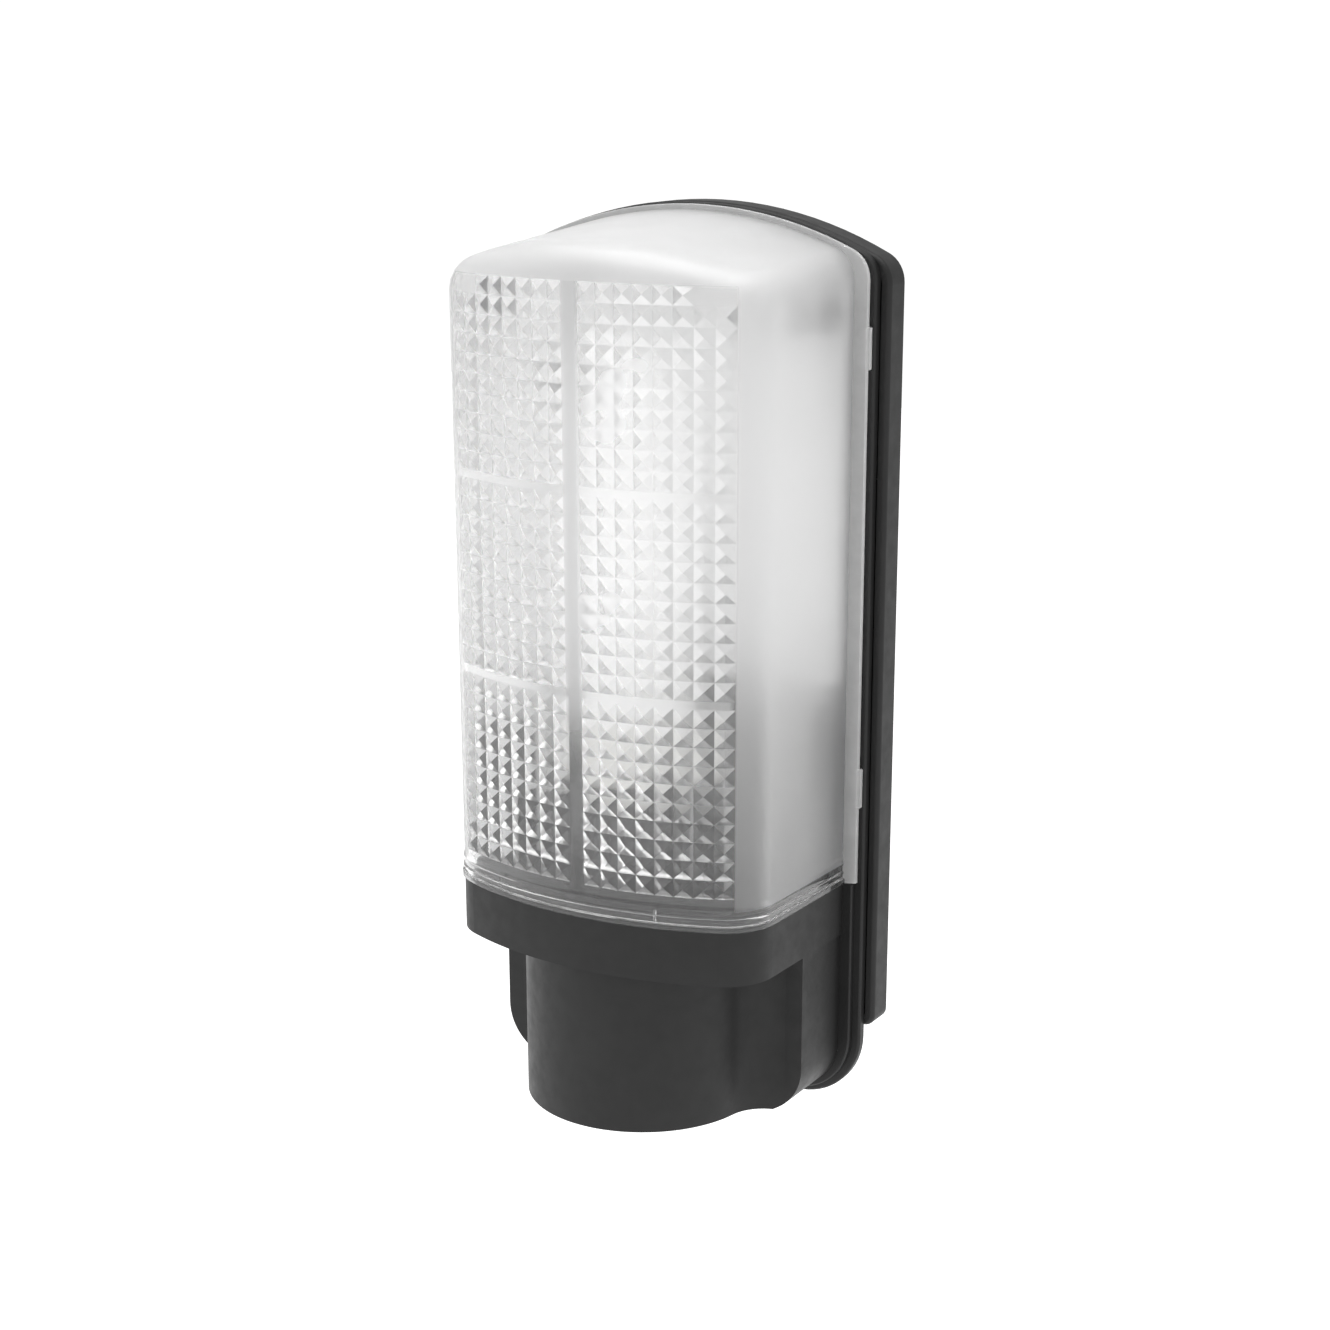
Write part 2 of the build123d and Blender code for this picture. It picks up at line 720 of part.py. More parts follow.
# -------------------------------------------------------------- terminal block
with BuildPart() as terminal_block:
    with BuildSketch(Plane.XZ.offset(block_seat)):
        with Locations((block_x, block_z)):
            Rectangle(12.0, 3 * pole_pitch - 0.6)
    extrude(amount=3.0)
    with BuildSketch(Plane.XZ.offset(block_seat + 2.5)):
        with Locations(*[(block_x, z) for z in pole_heights]):
            RectangleRounded(11.0, 7.6, 1.5)
    extrude(amount=8.5)
    # wire tunnels from side to side, and screw wells from the front
    for z in pole_heights:
        with BuildSketch(Plane.YZ.offset(block_x)):
            with Locations((-tube_depth, z)):
                Circle(2.05)
        extrude(amount=8, both=True, mode=Mode.SUBTRACT)
        with BuildSketch(Plane.XZ.offset(tube_depth)):
            with Locations((block_x - terminal_screw_dx, z), (block_x + terminal_screw_dx, z)):
                Circle(1.5)
        extrude(amount=8, mode=Mode.SUBTRACT)
save(terminal_block.part, "terminal_block")

with BuildPart() as terminal_tubes:
    for z in pole_heights:
        with BuildSketch(Plane.YZ.offset(block_x - tube_length / 2)):
            with Locations((-tube_depth, z)):
                Circle(2.0)
        extrude(amount=tube_length)
    # bores, and the screw holes in the front of each tube
    for z in pole_heights:
        with BuildSketch(Plane.YZ.offset(block_x - tube_length / 2 - 1)):
            with Locations((-tube_depth, z)):
                Circle(1.35)
        extrude(amount=tube_length + 2, mode=Mode.SUBTRACT)
        with BuildSketch(Plane.XZ.offset(tube_depth)):
            with Locations((block_x - terminal_screw_dx, z), (block_x + terminal_screw_dx, z)):
                Circle(1.05)
        extrude(amount=3, mode=Mode.SUBTRACT)
save(terminal_tubes.part, "terminal_tubes")

terminal_screw_points = [
    (block_x + dx, z) for z in pole_heights for dx in (-terminal_screw_dx, terminal_screw_dx)
]
with BuildPart() as terminal_screws:
    # shanks, heads, then the slots
    with BuildSketch(Plane.XZ.offset(block_seat + 7.1)):
        with Locations(*terminal_screw_points):
            Circle(1.0)
    extrude(amount=1.4)
    with BuildSketch(Plane.XZ.offset(block_seat + 8.4)):
        with Locations(*terminal_screw_points):
            Circle(1.4)
    extrude(amount=1.8)
    with BuildSketch(Plane.XZ.offset(block_seat + 10.2)):
        with Locations(*terminal_screw_points):
            Rectangle(2.9, 0.5)
    extrude(amount=-0.8, mode=Mode.SUBTRACT)
save(terminal_screws.part, "terminal_screws")

# ------------------------------------------------------------------ lampholder
socket_r = 14.6
socket_floor = holder_top - 31.5
well_floor = holder_top - 35.0  # of the smaller well under the socket
# (radius, z): up the outside, then down the socket
holder_profile = [
    (0, holder_bottom), (16.5, holder_bottom), (18.0, holder_bottom + 2),
    (holder_r, holder_bottom + 16), (holder_r, holder_bottom + 30),
    (18.6, holder_bottom + 31.2), (18.6, holder_top - 2.5), (17.4, holder_top),
    (socket_r, holder_top), (socket_r, socket_floor), (8.0, socket_floor),
    (8.0, well_floor), (0, well_floor),
]
with BuildPart() as lampholder_body:
    with BuildSketch(Plane.XZ):
        with BuildLine():
            Polyline(*holder_profile, close=True)
        make_face()
    revolve(axis=Axis.Z)
    # grip flutes round the skirt
    with BuildSketch(Plane.XY.offset(holder_bottom + 34)):
        with PolarLocations(19.2, 30):
            Circle(0.9)
    extrude(amount=12, mode=Mode.SUBTRACT)
    # pilot holes of its fixing screws, and the wire entries
    with BuildSketch(Plane.XY.offset(holder_bottom - 1)):
        with Locations((0, holder_screw_dy), (0, -holder_screw_dy)):
            Circle(1.45)
        with Locations((holder_lead_x, 0), (-holder_lead_x, 0)):
            Circle(1.6)
    extrude(amount=13, mode=Mode.SUBTRACT)
save(on_lamp_axis(lampholder_body.part), "lampholder_body")

# thin sleeve in the socket with a lip at its foot
shell_r, shell_inner_r = socket_r - 0.05, 13.9
shell_top, shell_bottom = holder_top - 4, socket_floor + 0.05
shell_profile = [
    (shell_inner_r, shell_top), (shell_r, shell_top), (shell_r, shell_bottom),
    (13.0, shell_bottom), (13.0, holder_top - 30.8), (shell_inner_r, holder_top - 30.8),
]
save(turned(shell_profile), "lampholder_shell")

# spring strip: (x, z below the holder's top) of its base and of its upper leaf
contact_base = [
    (-6.5, 34.95), (2.5, 34.95), (4.2, 31.2), (3.8, 31.0), (2.2, 34.35), (-6.5, 34.35),
]
contact_leaf = [(4.2, 31.2), (3.9, 30.9), (-2.6, 29.6), (-2.7, 30.15), (3.6, 31.4)]
contact_width = 5.0
with BuildPart() as centre_contact:
    for strip in (contact_base, contact_leaf):
        with BuildSketch(Plane.XZ.offset(-contact_width / 2)):
            with BuildLine():
                Polyline(*[(x, holder_top - drop) for x, drop in strip], close=True)
            make_face()
        extrude(amount=contact_width)
save(on_lamp_axis(centre_contact.part), "lampholder_centre_contact")

# L-shaped bracket: a shelf under the lampholder and a leg on the tray
with BuildPart() as lampholder_bracket:
    with BuildSketch(Plane.XY.offset(bracket_top)):
        with BuildLine():
            Polyline(
                (-bracket_half, -bracket_back), (bracket_half, -bracket_back),
                (bracket_half, lamp_y - 6), (9, lamp_y - 15), (-9, lamp_y - 15),
                (-bracket_half, lamp_y - 6), close=True,
            )
        make_face()
        with Locations((holder_lead_x, lamp_y), (-holder_lead_x, lamp_y)):
            Circle(2.1, mode=Mode.SUBTRACT)
        with Locations(*holder_screw_points):
            Circle(1.8, mode=Mode.SUBTRACT)
    extrude(amount=-bracket_sheet)
    with BuildSketch(Plane.XZ.offset(bracket_back)):
        with BuildLine():
            Polyline(
                (-bracket_half, holder_bottom - 0.5), (-bracket_half, -102), (-12, -105),
                (12, -105), (bracket_half, -102), (bracket_half, holder_bottom - 0.5),
                close=True,
            )
        make_face()
        with Locations(*bracket_screw_points):
            Circle(1.8, mode=Mode.SUBTRACT)
    extrude(amount=bracket_sheet)
save(lampholder_bracket.part, "lampholder_bracket")

bracket_screw_seat = bracket_back + bracket_sheet + contact_gap
save(screws(bracket_screw_points, bracket_screw_seat, 3.0, 2.0, 1.42, 6.2), "bracket_screws")

holder_screws = upright_screws(
    holder_screw_points, bracket_top - bracket_sheet - contact_gap, head_up=False,
    head=(2.8, 1.8, 0.8), shank=(1.42, 9.5), recess=(3.0, 0.8, 1.0),
)
save(holder_screws, "lampholder_screws")

# ------------------------------------------------------------------------ lamp
# cap, (radius, z): thread drawn as seven rolled rings, then down the inside
thread_r, thread_root_r = 13.1, 12.4
thread_pitch = 3.6
cap_profile = [(12.2, cap_bottom)]
for k in range(6):
    ring_z = cap_bottom + 1.0 + thread_pitch * k
    cap_profile += [
        (thread_r, ring_z + 0.9), (thread_r, ring_z + 1.5),
        (thread_root_r, ring_z + 2.5), (thread_root_r, ring_z + 2.9),
    ]
cap_profile += [
    (thread_r, cap_top - 0.4), (thread_r, cap_top), (11.9, cap_top),
    (11.9, cap_bottom + 0.8), (5.2, cap_bottom - 1.6), (5.6, cap_bottom - 2.1),
]
save(turned(cap_profile), "lamp_cap")

insulator_profile = [
    (2.6, cap_bottom - 2.6), (4.6, cap_bottom - 2.4), (5.15, cap_bottom - 1.6),
    (11.0, cap_bottom + 0.62), (11.0, cap_bottom + 1.4), (2.6, cap_bottom + 1.4),
]
save(turned(insulator_profile), "lamp_insulator")

with BuildPart() as lamp_tip:
    with BuildSketch(Plane.XY.offset(cap_bottom - 3.2)):
        Circle(2.58)
    extrude(amount=3.0)
    fillet(lamp_tip.faces().sort_by(Axis.Z)[0].edges(), 0.9)
save(on_lamp_axis(lamp_tip.part), "lamp_tip_contact")

# collar: a plug in the cap, a flared outside and a shallow recess on top
plug_r = 11.85
plug_bottom = cap_top - 6
collar_foot = (13.6, holder_top + 1.5)
collar_rim = (collar_r, collar_top)
recess_r, recess_z = 13.1, collar_top - 2
with BuildPart() as lamp_collar:
    with BuildSketch(Plane.XZ):
        with BuildLine():
            Polyline(
                (0, plug_bottom), (plug_r, plug_bottom), (plug_r, cap_top + contact_gap),
                (13.2, cap_top + contact_gap), collar_foot,
            )
            Spline(collar_foot, (14.2, holder_top + 9), collar_rim)
            Polyline(
                collar_rim, (recess_r, collar_top), (recess_r, recess_z),
                (0, recess_z), (0, plug_bottom),
            )
        make_face()
    revolve(axis=Axis.Z)
save(on_lamp_axis(lamp_collar.part), "lamp_collar")

# globe: a tube with a round dome, its neck standing in the collar's recess
globe_base = collar_top + 0.05
neck_bottom = globe_base - 1.9
neck_r, neck_inner_r = 13.0, 12.1
dome_z = globe_top - globe_r
globe_inner_r = globe_r - globe_wall
cos45 = math.sqrt(0.5)
with BuildPart() as lamp_globe:
    with BuildSketch(Plane.XZ):
        with BuildLine():
            Polyline(
                (neck_r, neck_bottom), (neck_r, globe_base), (collar_r, globe_base),
                (15.1, globe_base + 6), (globe_r, globe_base + 14), (globe_r, dome_z),
            )
            ThreePointArc(
                (globe_r, dome_z),
                (globe_r * cos45, dome_z + globe_r * cos45),
                (0, globe_top),
            )
            Line((0, globe_top), (0, globe_top - globe_wall))
            ThreePointArc(
                (0, globe_top - globe_wall),
                (globe_inner_r * cos45, dome_z + globe_inner_r * cos45),
                (globe_inner_r, dome_z),
            )
            Polyline(
                (globe_inner_r, dome_z), (globe_inner_r, globe_base + 14),
                (13.5, globe_base + 1.2), (neck_inner_r, globe_base + 1.2),
                (neck_inner_r, neck_bottom), (neck_r, neck_bottom),
            )
        make_face()
    revolve(axis=Axis.Z)
save(on_lamp_axis(lamp_globe.part), "lamp_globe")

# --------------------------------------------------------------- control board
with BuildPart() as control_board:
    with BuildSketch(Plane.XY.offset(board_z + contact_gap)):
        with Locations((0, lamp_y)):
            Circle(board_r)
        with Locations(*board_post_points):
            Circle(1.6, mode=Mode.SUBTRACT)
    extrude(amount=board_thickness)
save(control_board.part, "control_board")

board_screws = upright_screws(
    board_post_points, board_top, head_up=True,
    head=(2.6, 1.7, 0.7), shank=(1.17, 8.5), recess=(2.8, 0.7, 0.9),
)
save(board_screws, "board_screws")


def board_block(centre, width, length, height, corner_r, edge_r):
    """Block on the board with rounded upright edges and a rounded top."""
    with BuildPart() as block:
        with BuildSketch(Plane.XY.offset(board_top)):
            with Locations(centre):
                Rectangle(width, length)
        extrude(amount=height)
        fillet(block.edges().filter_by(Axis.Z), corner_r)
        fillet(block.faces().sort_by(Axis.Z)[-1].edges(), edge_r)
    return block.part


save(board_block((-7.5, lamp_y - 7), 15.5, 19, 15.2, 0.8, 0.6), "relay")
save(board_block((8.5, lamp_y - 3), 9, 18, 14, 1.6, 1.2), "dropper_capacitor")

with BuildPart() as smoothing_capacitor:
    with BuildSketch(Plane.XY.offset(board_top)):
        with Locations((-4, lamp_y + 12)):
            Circle(4.0)
    extrude(amount=11.5)
    fillet(smoothing_capacitor.faces().sort_by(Axis.Z)[-1].edges(), 0.8)
save(smoothing_capacitor.part, "smoothing_capacitor")

# two legs under the board and a round head above the window
with BuildPart() as light_sensor:
    with BuildSketch(Plane.XY.offset(board_z)):
        with Locations((-1.3, sensor_y), (1.3, sensor_y)):
            Circle(0.35)
    extrude(amount=-6.5)
    with BuildSketch(Plane.XY.offset(board_z - 6.0)):
        with Locations((0, sensor_y)):
            Circle(3.0)
    extrude(amount=-2.2)
save(light_sensor.part, "light_sensor")

# --------------------------------------------------------------- cable grommet
with BuildPart() as cable_grommet:
    with BuildSketch(Plane.XZ.offset(0.2)):
        with Locations((grommet_x, grommet_z)):
            Circle(grommet_hole_r - 0.05)
    extrude(amount=plate_web - 0.1)
    # flange in front of the web
    with BuildSketch(Plane.XZ.offset(plate_web + 0.05)):
        with Locations((grommet_x, grommet_z)):
            Circle(grommet_hole_r + 2.0)
    extrude(amount=1.6)
    fillet(cable_grommet.faces().sort_by(Axis.Y)[0].edges(), 0.6)
    add(bars([(grommet_x, grommet_z)], cable_r, -1, 6), mode=Mode.SUBTRACT)
save(cable_grommet.part, "cable_grommet")


# ----------------------------------------------------------------- inner wires
def lead(points, radius=1.1, bend=2.2):
    """Insulated lead: a round section swept along straight runs with bends."""
    with BuildPart() as wire:
        with BuildLine() as path:
            FilletPolyline(*points, radius=bend)
        start = path.line @ 0
        with BuildSketch(Plane(origin=start, z_dir=path.line % 0)):
            Circle(radius)
        sweep()
    return wire.part


lead_x = block_x - 5.4  # just left of the terminal tubes
lead_end_z = board_top + 0.03
live_z, neutral_z = pole_heights[0], pole_heights[2]
# paths, (x, y, z), from the terminal block or lampholder down to the board
lead_paths = {
    "live_wire": [
        (lead_x, -tube_depth, live_z), (22.4, -tube_depth, live_z),
        (22.4, -tube_depth, -53.5), (31.5, -18.5, -60.0), (31.5, -18.5, -94.0),
        (18.5, -27.5, -104.0), (18.5, -27.5, lead_end_z),
    ],
    "neutral_wire": [
        (lead_x, -tube_depth, neutral_z), (19.4, -tube_depth, neutral_z),
        (19.4, -tube_depth, -55.5), (26.5, -18.5, -63.0), (26.5, -18.5, -96.0),
        (11.5, -20.5, -103.5), (11.5, -20.5, lead_end_z),
    ],
}
for side, name in ((1, "lamp_live_wire"), (-1, "lamp_neutral_wire")):
    lead_paths[name] = [
        (side * holder_lead_x, lamp_y, -77.0), (side * holder_lead_x, lamp_y, -90.8),
        (side * 20.5, -42.0, -97.0), (side * 20.5, -42.0, lead_end_z),
    ]
for name, points in lead_paths.items():
    save(lead(points), name)
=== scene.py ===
"""A lit lamp behind a bowed cover of prismatic, clear and frosted polycarbonate.

The cover is rebuilt as one closed mesh; the other pieces come from the frame and only
get their materials. The product faces -Y and stands along Z, with X across it.
"""

import json
import math

import bmesh
import bpy
from mathutils import Matrix, Vector


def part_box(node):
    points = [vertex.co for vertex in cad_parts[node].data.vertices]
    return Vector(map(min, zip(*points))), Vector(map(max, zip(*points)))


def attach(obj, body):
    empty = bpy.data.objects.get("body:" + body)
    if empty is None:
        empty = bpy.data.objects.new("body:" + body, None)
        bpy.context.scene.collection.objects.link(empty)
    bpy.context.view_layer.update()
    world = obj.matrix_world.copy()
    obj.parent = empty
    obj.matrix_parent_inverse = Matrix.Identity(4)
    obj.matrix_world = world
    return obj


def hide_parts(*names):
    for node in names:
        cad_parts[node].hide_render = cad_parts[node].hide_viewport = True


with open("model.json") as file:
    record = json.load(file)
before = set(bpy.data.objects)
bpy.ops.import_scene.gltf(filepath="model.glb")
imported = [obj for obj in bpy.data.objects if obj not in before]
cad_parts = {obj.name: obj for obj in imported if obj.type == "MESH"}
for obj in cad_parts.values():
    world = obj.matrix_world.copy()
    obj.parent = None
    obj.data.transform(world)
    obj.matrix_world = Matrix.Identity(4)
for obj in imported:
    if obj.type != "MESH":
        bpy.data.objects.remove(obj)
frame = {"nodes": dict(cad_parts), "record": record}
nodes = frame["nodes"]
scene = bpy.context.scene


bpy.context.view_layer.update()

# ---------------------------------------------------------------------------
# Sizes of the cover, in millimetres
# ---------------------------------------------------------------------------
MM = 0.001

RIM_PROUD = 0.7                 # how far the rim's lowest bead stands out
diffuser_lo, diffuser_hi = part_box("diffuser")
FRONT = diffuser_lo.y / MM + RIM_PROUD
BOTTOM = diffuser_lo.z / MM
BACK = -10.6
WALL = 2.2

# Plan: a bowed front, a round at each corner and a drafted side
BOW = 96.73                     # radius of the front
BOW_Y = FRONT + BOW             # centre of the bow
CORNER = 14.35                  # radius of the corner round
HALF_FRONT, HALF_BACK = 46.8, 48.0
CORNER_STEPS = 12
SIDE_STEPS = 12

# Roof: an arch across X that falls towards the front
ARCH = 117.5
PEAK = 107.8
SLOPE = math.radians(5.0)
ROOF_Y = -10.5                  # where the arch has its full height
EDGE = 9.0                      # radius of the round between wall and roof
EDGE_STEPS = 9
ROOF_RINGS = 14

# Square hollow prisms in the inner face of the front, on both sides of a plain rib
PITCH = 5.0
RIB_HALF = 2.0
COLUMNS = 8                     # on each side of the rib
TOP_COLUMNS = 6                 # the same, in the topmost row
PANELS = 3
PANEL_ROWS = 10
PANEL_GAP = 2.04
PRISM_BOTTOM = -59.62
PRISM_DEPTH = 1.25

# Rim, from the foot up: (height above the foot, how far the outer face stands proud)
RIM_PROFILE = [
    (0.0, 0.45), (0.25, RIM_PROUD), (1.5, RIM_PROUD), (1.75, 0.45), (1.85, 0.0),
    (2.5, -0.05), (2.7, 0.28), (3.2, 0.36), (3.5, 0.2), (3.65, -0.05),
    (5.0, -0.05), (5.25, 0.1), (5.6, 0.25), (6.1, 0.2), (6.8, 0.0),
]
CLEAR_TOP = BOTTOM + 5.6        # the rim's clear material ends here

# Flange round the back
FLANGE_HALF = diffuser_hi.x / MM
FLANGE_PEAK = diffuser_hi.z / MM
FLANGE_FRONT = -12.4
SHOULDER = 8.0                  # radius of its upper corners
FLANGE_FOOT = (0.75, 0.45)      # its first two outline points, above the foot
# (y, inset of the outline)
FLANGE_PROFILE = [
    (FLANGE_FRONT, 0.55), (FLANGE_FRONT + 0.16, 0.16), (FLANGE_FRONT + 0.55, 0.0),
    (BACK - 0.35, 0.0), (BACK, 0.3),
]

# Lugs behind the flange, and a low tab beside it at each lug; X on the right side
LUG_HEIGHTS = (75.2, -41.0)
LUG_LENGTH = 10.5
LUG_X = (50.6, 51.65)
LUG_Y = (BACK - 0.9, -6.55)
TAB_X = (FLANGE_HALF - 0.2, FLANGE_HALF + 0.75)
TAB_Y = (FLANGE_FRONT + 0.25, BACK - 0.1)

# Fine upright marks on the rim
MARKS_X = (-26.0, 22.5)
MARK_HALF = 0.3
MARK_Y = (-0.35, 0.5)           # from the front face
MARK_Z = (BOTTOM + 1.9, BOTTOM + 5.1)


# ---------------------------------------------------------------------------
# Node helpers
# ---------------------------------------------------------------------------
def grey(value):
    return (value, value, value)


class Nodes:
    """Small helper round the node tree of a material or a world."""

    def __init__(self, owner, output="ShaderNodeOutputMaterial"):
        self.owner = owner
        owner.use_nodes = True
        self.tree = owner.node_tree
        self.tree.nodes.clear()
        self.output = self.add(output)
        self.coord = self.add("ShaderNodeTexCoord")

    def add(self, kind, inputs=None, **props):
        """New node; each input is a value to set or a socket to link."""
        node = self.tree.nodes.new(kind)
        for key, value in props.items():
            setattr(node, key, value)
        for key, value in (inputs or {}).items():
            if isinstance(value, bpy.types.NodeSocket):
                self.tree.links.new(value, node.inputs[key])
            else:
                node.inputs[key].default_value = value
        return node

    def finish(self, shader):
        self.tree.links.new(shader, self.output.inputs["Surface"])
        return self.owner

    def noise(self, scale, detail=2.0, rough=0.5, stretch=None):
        place = self.coord.outputs["Object"]
        if stretch:
            mapping = self.add("ShaderNodeMapping", {"Scale": stretch, "Vector": place})
            place = mapping.outputs["Vector"]
        return self.add("ShaderNodeTexNoise", {
            "Scale": scale, "Detail": detail, "Roughness": rough, "Vector": place,
        }).outputs["Fac"]

    def axis(self, name, space="Object"):
        """One coordinate of the shaded point, in metres in object space."""
        split = self.add("ShaderNodeSeparateXYZ", {"Vector": self.coord.outputs[space]})
        return split.outputs[name]

    def ramp(self, value, low, high, start=0.3, end=0.7):
        """Map start..end to low..high."""
        return self.add("ShaderNodeMapRange", {
            "From Min": start, "From Max": end, "To Min": low, "To Max": high, "Value": value,
        }).outputs["Result"]

    def colour(self, value, dark, light):
        node = self.add("ShaderNodeValToRGB", {"Fac": value})
        stops = node.color_ramp.elements
        stops[0].position, stops[1].position = 0.3, 0.7
        stops[0].color, stops[1].color = (*dark, 1), (*light, 1)
        return node.outputs["Color"]

    def bump(self, height, strength, distance):
        return self.add("ShaderNodeBump", {
            "Strength": strength, "Distance": distance, "Height": height,
        }).outputs["Normal"]

    def combine(self, operation, first, second):
        node = self.add("ShaderNodeMath", {0: first, 1: second}, operation=operation)
        return node.outputs["Value"]

    def mix(self, share, first, second):
        """Blend two shaders; share is the part of the second."""
        node = self.add("ShaderNodeMixShader", {"Fac": share, 1: first, 2: second})
        return node.outputs["Shader"]


# ---------------------------------------------------------------------------
# Materials
# ---------------------------------------------------------------------------
def surface(name, dark, light, rough, metallic=0.0, patch=60.0, grain=1800.0, grain_h=0.00002,
            grain_k=0.25, coat=0.0, stretch=None, specular=0.5, sss=0.0):
    """Principled surface with soft patches of colour, varied roughness and a fine grain.

    patch and grain are noise scales, grain_h and grain_k the bump's distance and strength.
    """
    m = Nodes(bpy.data.materials.new(name))
    fine = m.noise(grain, rough=0.6, stretch=stretch)
    shader = m.add("ShaderNodeBsdfPrincipled", {
        "Base Color": m.colour(m.noise(patch, detail=3.0, rough=0.55), dark, light),
        "Roughness": m.ramp(m.noise(patch * 7, rough=0.6), *rough),
        "Normal": m.bump(fine, strength=grain_k, distance=grain_h),
        "Metallic": metallic,
        "Coat Weight": coat,
        "Specular IOR Level": specular,
    })
    if sss:
        shader.inputs["Subsurface Weight"].default_value = sss
        shader.inputs["Subsurface Radius"].default_value = grey(0.004)
    return m.finish(shader.outputs["BSDF"])


def glow(name, strength):
    """Opal glass of the lit lamp: a light of its own that fades towards the bottom."""
    m = Nodes(bpy.data.materials.new(name))
    shader = m.add("ShaderNodeBsdfPrincipled", {
        "Base Color": m.colour(m.noise(90.0), dark=grey(0.86), light=grey(0.93)),
        "Roughness": m.ramp(m.noise(400.0), low=0.22, high=0.3),
        "Emission Strength": m.ramp(m.axis("Z"), low=0.25 * strength, high=strength,
                                    start=-0.012, end=0.02),
        "Emission Color": (1, 1, 1, 1),
    })
    return m.finish(shader.outputs["BSDF"])


def cover_material(name, rough, milk, through=grey(0.93), grain=0.0, tint=0.985, scatter=0.5,
                   milk_low_painted_shade=1.0, white=0.9, rough_low=1.0, left=1.0):
    """Clear or frosted polycarbonate: refraction with a share of white scatter, the milk.

    Shadow and diffuse rays go straight through, tinted by `through`, so that the lamps
    outside light the inside. scatter is the diffuse part of the milk, the rest being
    translucent. milk_low_painted_shade scales the milk at the bottom, a painted shade:
    less white scatter there darkens the lower part. rough_low scales roughness at the
    bottom; left scales milk and roughness on the -X side.
    """
    m = Nodes(bpy.data.materials.new(name))
    roughness = m.ramp(m.noise(45.0), *rough)
    share = m.ramp(m.noise(120.0, detail=3.0, rough=0.6), low=milk * 0.92, high=milk * 1.08)
    if rough_low != 1.0:
        ease = m.ramp(m.axis("Z"), low=rough_low, high=1.0, start=-0.04, end=0.01)
        roughness = m.combine("MULTIPLY", roughness, ease)
    # painted shade: less white milk towards the bottom, so the lower part of the cover darkens
    if milk_low_painted_shade != 1.0:
        fall = m.ramp(m.axis("Z"), low=milk_low_painted_shade, high=1.0, start=-0.06, end=0.05)
        share = m.combine("MULTIPLY", share, fall)
    if left != 1.0:
        side = m.ramp(m.axis("X"), low=left, high=1.0, start=-0.03, end=0.004)
        roughness = m.combine("MULTIPLY", roughness, side)
        share = m.combine("MULTIPLY", share, side)

    glass = {
        "Base Color": (*grey(tint), 1),
        "Transmission Weight": 1.0,
        "IOR": 1.58,
        "Roughness": roughness,
    }
    if grain:
        fine = m.noise(1500.0, rough=0.6)
        glass["Normal"] = m.bump(fine, strength=grain, distance=0.00002)
    glass = m.add("ShaderNodeBsdfPrincipled", glass)
    translucent = m.add("ShaderNodeBsdfTranslucent", {"Color": (*grey(white + 0.03), 1)})
    diffuse = m.add("ShaderNodeBsdfDiffuse", {"Color": (*grey(white), 1)})
    clear = m.add("ShaderNodeBsdfTransparent", {"Color": (*through, 1)})

    milky = m.mix(scatter, translucent.outputs["BSDF"], diffuse.outputs["BSDF"])
    body = m.mix(share, glass.outputs["BSDF"], milky)
    path = m.add("ShaderNodeLightPath").outputs
    straight = m.combine("MAXIMUM", path["Is Shadow Ray"], path["Is Diffuse Ray"])
    return m.finish(m.mix(straight, body, clear.outputs["BSDF"]))


